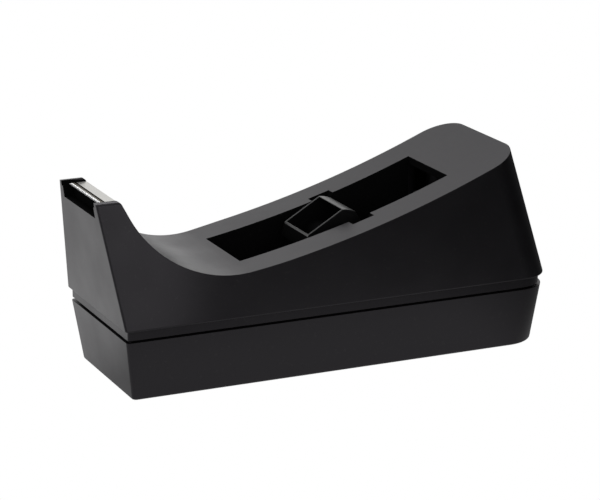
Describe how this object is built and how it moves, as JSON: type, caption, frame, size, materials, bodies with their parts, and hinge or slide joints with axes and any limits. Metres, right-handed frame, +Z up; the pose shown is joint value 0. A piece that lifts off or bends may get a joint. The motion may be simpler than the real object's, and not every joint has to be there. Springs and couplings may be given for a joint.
{
  "type": "tape dispenser",
  "caption": "Weighted desktop tape dispenser: deep two-part moulded body with a curved saddle deck, a roll slot with a turning core hub, and a serrated cutter between two cheeks.",
  "frame": {"origin": "On the table, under the middle of the overall length, in the middle plane of the body.", "axes": "+Z up. X runs along the body: the cutter is at -X and the high rear end at +X. Y runs across it along the hub's axle."},
  "size_m": [0.1564, 0.0542, 0.0677],
  "materials": {
    "housing": "fine satin mould texture, black",
    "ballast": "cast cement, hidden inside",
    "pad": "soft non-slip sheet",
    "blade_steel": "plated strip, bright teeth",
    "screw_steel": "zinc plated, hidden",
    "axle_steel": "drawn rod",
    "hub_plastic": "polished mould surface, black"
  },
  "bodies": {
    "housing": {"top_shell": "housing", "base_pan": "housing", "ballast_block": "ballast", "nonslip_pad": "pad", "cutter_blade": "blade_steel", "housing_screws": "screw_steel"},
    "axle": {"hub_axle": "axle_steel"},
    "hub": {"core_hub": "hub_plastic"}
  },
  "joints": [
    {"name": "hub_lift", "type": "slide", "parent": "housing", "child": "axle", "axis": [0.373, 0, 0.9278], "range_m": [0, 0.036]},
    {"name": "hub_spin", "type": "hinge", "parent": "axle", "child": "hub", "pos_m": [0.008, 0, 0.0376], "axis": [0, 1, 0], "continuous": true}
  ]
}
